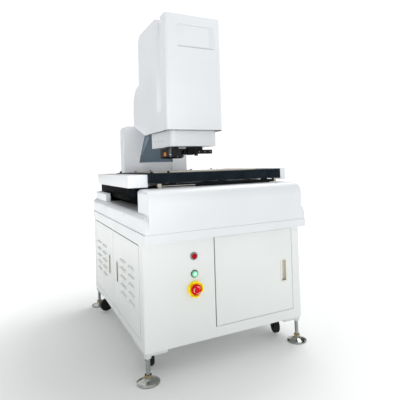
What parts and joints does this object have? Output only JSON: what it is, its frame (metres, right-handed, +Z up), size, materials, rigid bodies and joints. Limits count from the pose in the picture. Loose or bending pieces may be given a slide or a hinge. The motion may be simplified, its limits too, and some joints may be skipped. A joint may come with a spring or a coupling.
{
  "type": "vision measuring machine",
  "caption": "Free-standing optical measuring machine: glass stage moving in X and Y on a granite base, vertical optical head, cabinet below with louvred side doors.",
  "frame": {"origin": "on the floor, at the centre of the footprint", "axes": "+Z up, +X to the operator's right, +Y from the operator's side to the back"},
  "size_m": [0.754, 1.05, 1.49],
  "materials": {
    "cabinet_paint": "gloss",
    "housing_white": "gloss",
    "frame_steel": "satin",
    "slate_casting": "satin",
    "black_plate": "satin",
    "granite": "honed",
    "bright_steel": "brushed",
    "frame_aluminium": "anodised",
    "black_plastic": "matt",
    "ring_black": "anodised black",
    "clear_glass": "clear",
    "red_lens": "glossy",
    "green_cap": "glossy",
    "yellow_plastic": "glossy",
    "red_plastic": "glossy",
    "pad_rubber": "matt",
    "foot_chrome": "polished",
    "fork_black": "gloss",
    "wheel_black": "matt"
  },
  "bodies": {
    "machine": {"cabinet_body": "cabinet_paint", "machine_frame": "frame_steel", "rear_panel": "cabinet_paint", "power_inlet": "black_plastic", "control_box": "frame_steel", "door_pivots": "frame_steel", "switch_bodies": "black_plastic", "lamp_lens": "red_lens", "estop_guard": "yellow_plastic", "lower_band": "housing_white", "upper_housing": "housing_white", "granite_base": "granite", "isolation_pads": "pad_rubber", "guard_strips": "black_plate", "guide_rails": "bright_steel", "axis_motors": "black_plate", "light_source": "ring_black", "column_frame": "slate_casting", "column_cover": "housing_white", "rear_head_cover": "housing_white", "front_head_cover": "housing_white"},
    "front_door": {"front_door": "cabinet_paint", "door_pull": "bright_steel"},
    "side_door_front": {"side_door_front": "cabinet_paint", "side_handle_front": "bright_steel"},
    "side_door_rear": {"side_door_rear": "cabinet_paint", "side_handle_rear": "bright_steel"},
    "start_button": {"start_button": "green_cap"},
    "estop_button": {"estop_button": "red_plastic"},
    "y_screw": {"y_screw": "bright_steel"},
    "saddle": {"saddle": "black_plate", "saddle_carriages": "bright_steel"},
    "stage": {"stage_plate": "black_plate", "stage_glass": "clear_glass", "glass_frame": "frame_aluminium", "stage_knobs": "black_plastic", "x_rails": "bright_steel", "x_motor": "black_plate", "drive_cover": "housing_white", "end_cover": "housing_white", "linear_scale": "frame_aluminium"},
    "x_screw": {"x_screw": "bright_steel"},
    "vertical_slide": {"z_slide": "black_plate", "zoom_camera": "ring_black", "ring_light": "ring_black", "lower_head_box": "housing_white", "side_sensor": "black_plastic"},
    "z_screw": {"z_screw": "bright_steel"},
    "foot_front_left": {"foot_front_left": "foot_chrome"},
    "caster_fork_front_left": {"caster_fork_front_left": "fork_black"},
    "caster_wheel_front_left": {"caster_wheel_front_left": "wheel_black"},
    "foot_front_right": {"foot_front_right": "foot_chrome"},
    "caster_fork_front_right": {"caster_fork_front_right": "fork_black"},
    "caster_wheel_front_right": {"caster_wheel_front_right": "wheel_black"},
    "foot_rear_left": {"foot_rear_left": "foot_chrome"},
    "caster_fork_rear_left": {"caster_fork_rear_left": "fork_black"},
    "caster_wheel_rear_left": {"caster_wheel_rear_left": "wheel_black"},
    "foot_rear_right": {"foot_rear_right": "foot_chrome"},
    "caster_fork_rear_right": {"caster_fork_rear_right": "fork_black"},
    "caster_wheel_rear_right": {"caster_wheel_rear_right": "wheel_black"}
  },
  "joints": [
    {"name": "front_door_hinge", "type": "hinge", "parent": "machine", "child": "front_door", "pos_m": [-0.052, -0.471, 0.325], "axis": [0, 0, -1], "range_deg": [0, 110]},
    {"name": "side_door_front_hinge", "type": "hinge", "parent": "machine", "child": "side_door_front", "pos_m": [-0.342, -0.419, 0.3165], "axis": [0, 0, 1], "range_deg": [0, 110]},
    {"name": "side_door_rear_hinge", "type": "hinge", "parent": "machine", "child": "side_door_rear", "pos_m": [-0.342, 0.441, 0.3165], "axis": [0, 0, -1], "range_deg": [0, 110]},
    {"name": "start_button_press", "type": "slide", "parent": "machine", "child": "start_button", "axis": [0, 1, 0], "range_m": [0, 0.0035], "stiffness_N_per_m": 400},
    {"name": "estop_press", "type": "slide", "parent": "machine", "child": "estop_button", "axis": [0, 1, 0], "range_m": [0, 0.005], "stiffness_N_per_m": 900},
    {"name": "y_slide", "type": "slide", "parent": "machine", "child": "saddle", "axis": [0, 1, 0], "range_m": [-0.025, 0.2]},
    {"name": "x_slide", "type": "slide", "parent": "saddle", "child": "stage", "axis": [1, 0, 0], "range_m": [-0.15, 0.15]},
    {"name": "z_slide", "type": "slide", "parent": "machine", "child": "vertical_slide", "axis": [0, 0, 1], "range_m": [-0.045, 0.155]},
    {"name": "y_screw_turn", "type": "hinge", "parent": "machine", "child": "y_screw", "pos_m": [0.06, 0.021, 0.669], "axis": [0, 1, 0], "continuous": true},
    {"name": "x_screw_turn", "type": "hinge", "parent": "stage", "child": "x_screw", "pos_m": [0, 0.081, 0.726], "axis": [1, 0, 0], "continuous": true},
    {"name": "z_screw_turn", "type": "hinge", "parent": "machine", "child": "z_screw", "pos_m": [0, 0.0745, 1.17], "axis": [0, 0, 1], "continuous": true},
    {"name": "foot_front_left_level", "type": "slide", "parent": "machine", "child": "foot_front_left", "axis": [0, 0, -1], "range_m": [0, 0.03]},
    {"name": "caster_front_left_swivel", "type": "hinge", "parent": "machine", "child": "caster_fork_front_left", "pos_m": [-0.298, -0.333, 0.1], "axis": [0, 0, 1], "continuous": true},
    {"name": "caster_front_left_roll", "type": "hinge", "parent": "caster_fork_front_left", "child": "caster_wheel_front_left", "pos_m": [-0.298, -0.357, 0.04], "axis": [-1, 0, 0], "continuous": true},
    {"name": "foot_front_right_level", "type": "slide", "parent": "machine", "child": "foot_front_right", "axis": [0, 0, -1], "range_m": [0, 0.03]},
    {"name": "caster_front_right_swivel", "type": "hinge", "parent": "machine", "child": "caster_fork_front_right", "pos_m": [0.298, -0.333, 0.1], "axis": [0, 0, 1], "continuous": true},
    {"name": "caster_front_right_roll", "type": "hinge", "parent": "caster_fork_front_right", "child": "caster_wheel_front_right", "pos_m": [0.29301, -0.35648, 0.04], "axis": [-0.9781, 0.2079, 0], "continuous": true},
    {"name": "foot_rear_left_level", "type": "slide", "parent": "machine", "child": "foot_rear_left", "axis": [0, 0, -1], "range_m": [0, 0.03]},
    {"name": "caster_rear_left_swivel", "type": "hinge", "parent": "machine", "child": "caster_fork_rear_left", "pos_m": [-0.298, 0.355, 0.1], "axis": [0, 0, 1], "continuous": true},
    {"name": "caster_rear_left_roll", "type": "hinge", "parent": "caster_fork_rear_left", "child": "caster_wheel_rear_left", "pos_m": [-0.322, 0.355, 0.04], "axis": [0, 1, 0], "continuous": true},
    {"name": "foot_rear_right_level", "type": "slide", "parent": "machine", "child": "foot_rear_right", "axis": [0, 0, -1], "range_m": [0, 0.03]},
    {"name": "caster_rear_right_swivel", "type": "hinge", "parent": "machine", "child": "caster_fork_rear_right", "pos_m": [0.298, 0.355, 0.1], "axis": [0, 0, 1], "continuous": true},
    {"name": "caster_rear_right_roll", "type": "hinge", "parent": "caster_fork_rear_right", "child": "caster_wheel_rear_right", "pos_m": [0.298, 0.379, 0.04], "axis": [1, 0, 0], "continuous": true}
  ],
  "couplings": [
    {"joint": "y_screw_turn", "follows": "y_slide", "rad_per_m": 628.32},
    {"joint": "x_screw_turn", "follows": "x_slide", "rad_per_m": 1256.6},
    {"joint": "z_screw_turn", "follows": "z_slide", "rad_per_m": 1256.6}
  ]
}
